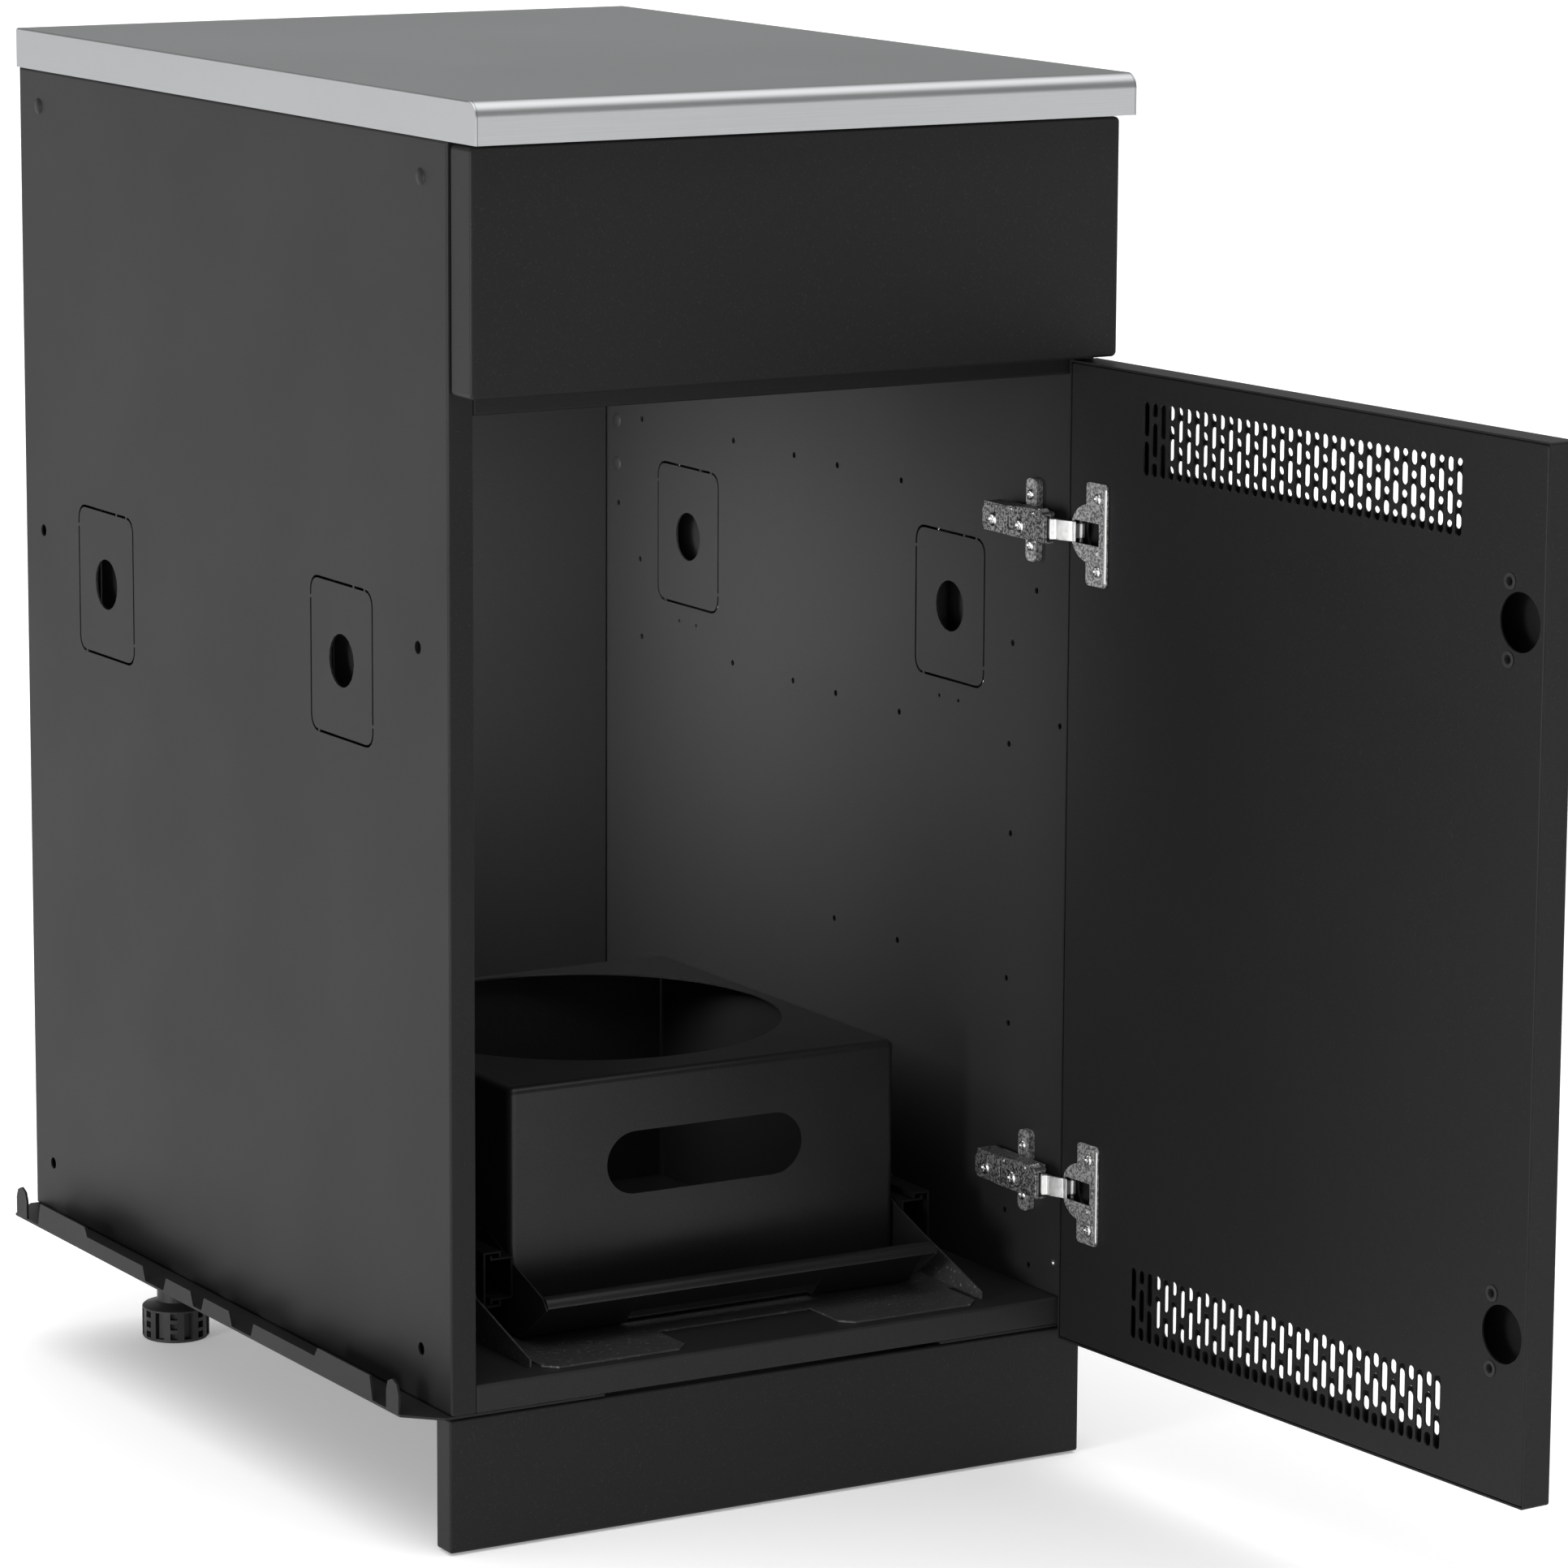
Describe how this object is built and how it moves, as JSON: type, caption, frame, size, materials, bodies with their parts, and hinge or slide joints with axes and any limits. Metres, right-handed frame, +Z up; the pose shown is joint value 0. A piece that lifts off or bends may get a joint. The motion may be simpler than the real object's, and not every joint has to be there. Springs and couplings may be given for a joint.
{
  "type": "gas cylinder cabinet",
  "caption": "Sheet steel base cabinet for a gas cylinder, with a vented door on cup hinges, a slide-out collared tray, a fascia, a metal worktop and levelling feet.",
  "frame": {"origin": "on the floor, at the middle in X and Y of the box that the cabinet takes up with its door open", "axes": "+X to the right seen from the front, +Y from the door to the back, +Z up"},
  "size_m": [0.5043, 1.052, 0.878],
  "materials": {
    "black_paint": "satin black powder coat",
    "steel": "fine brushed stainless sheet",
    "zinc": "zinc or nickel plated",
    "black_plastic": "moulded black plastic"
  },
  "bodies": {
    "cabinet": {"worktop": "steel", "worktop_stiffener_front": "steel", "worktop_stiffener_rear": "steel", "side_panel_left_outer": "black_paint", "side_panel_left_inner": "black_paint", "side_panel_right_outer": "black_paint", "side_panel_right_inner": "black_paint", "back_panel": "black_paint", "floor_panel": "black_paint", "front_rail": "black_paint", "back_rail": "black_paint", "fascia_panel": "black_paint", "fascia_clip_left": "zinc", "fascia_clip_right": "zinc", "base_rail_left": "black_paint", "base_rail_right": "black_paint", "toe_kick": "black_paint", "toe_kick_clip_left": "zinc", "toe_kick_clip_right": "zinc", "hinge_plate_lower": "zinc", "hinge_plate_upper": "zinc", "hinge_arm_lower": "zinc", "hinge_arm_upper": "zinc", "tray_base": "black_paint", "slide_fixed_left": "black_paint", "slide_fixed_right": "black_paint", "plate_screw_lower_low": "zinc", "plate_screw_lower_high": "zinc", "plate_screw_upper_low": "zinc", "plate_screw_upper_high": "zinc"},
    "hinge_links": {"hinge_link_lower": "zinc", "hinge_link_upper": "zinc"},
    "door": {"door_outer": "black_paint", "door_inner": "black_paint", "hinge_cup_lower": "zinc", "hinge_cup_upper": "zinc", "cup_screw_lower_low": "zinc", "cup_screw_lower_high": "zinc", "cup_screw_upper_low": "zinc", "cup_screw_upper_high": "zinc", "insert_lower_low": "zinc", "insert_lower_high": "zinc", "insert_upper_low": "zinc", "insert_upper_high": "zinc"},
    "tray": {"tray_pan": "black_paint", "tray_collar": "black_paint", "slide_moving_left": "black_paint", "slide_moving_right": "black_paint"},
    "foot_front_left": {"foot_front_left_pad": "black_plastic", "foot_front_left_stud": "zinc"},
    "foot_front_right": {"foot_front_right_pad": "black_plastic", "foot_front_right_stud": "zinc"},
    "foot_rear_left": {"foot_rear_left_pad": "black_plastic", "foot_rear_left_stud": "zinc"},
    "foot_rear_right": {"foot_rear_right_pad": "black_plastic", "foot_rear_right_stud": "zinc"}
  },
  "joints": [
    {"name": "door_swing", "type": "hinge", "parent": "hinge_links", "child": "door", "pos_m": [0.20732, -0.08861, 0.388], "axis": [0, 0, 1], "range_deg": [-124.5, 14.6]},
    {"name": "link_swing", "type": "hinge", "parent": "cabinet", "child": "hinge_links", "pos_m": [0.196, -0.07105, 0.388], "axis": [0, 0, 1], "range_deg": [-3.6, 30.6]},
    {"name": "tray_slide", "type": "slide", "parent": "cabinet", "child": "tray", "axis": [0, -1, 0], "range_m": [0, 0.22]},
    {"name": "foot_front_left_screw", "type": "slide", "parent": "cabinet", "child": "foot_front_left", "axis": [0, 0, 1], "range_m": [-0.008, 0.005]},
    {"name": "foot_front_right_screw", "type": "slide", "parent": "cabinet", "child": "foot_front_right", "axis": [0, 0, 1], "range_m": [-0.008, 0.005]},
    {"name": "foot_rear_left_screw", "type": "slide", "parent": "cabinet", "child": "foot_rear_left", "axis": [0, 0, 1], "range_m": [-0.008, 0.005]},
    {"name": "foot_rear_right_screw", "type": "slide", "parent": "cabinet", "child": "foot_rear_right", "axis": [0, 0, 1], "range_m": [-0.008, 0.005]}
  ],
  "couplings": [
    {"joint": "link_swing", "follows": "door_swing", "ratio": -0.245}
  ]
}
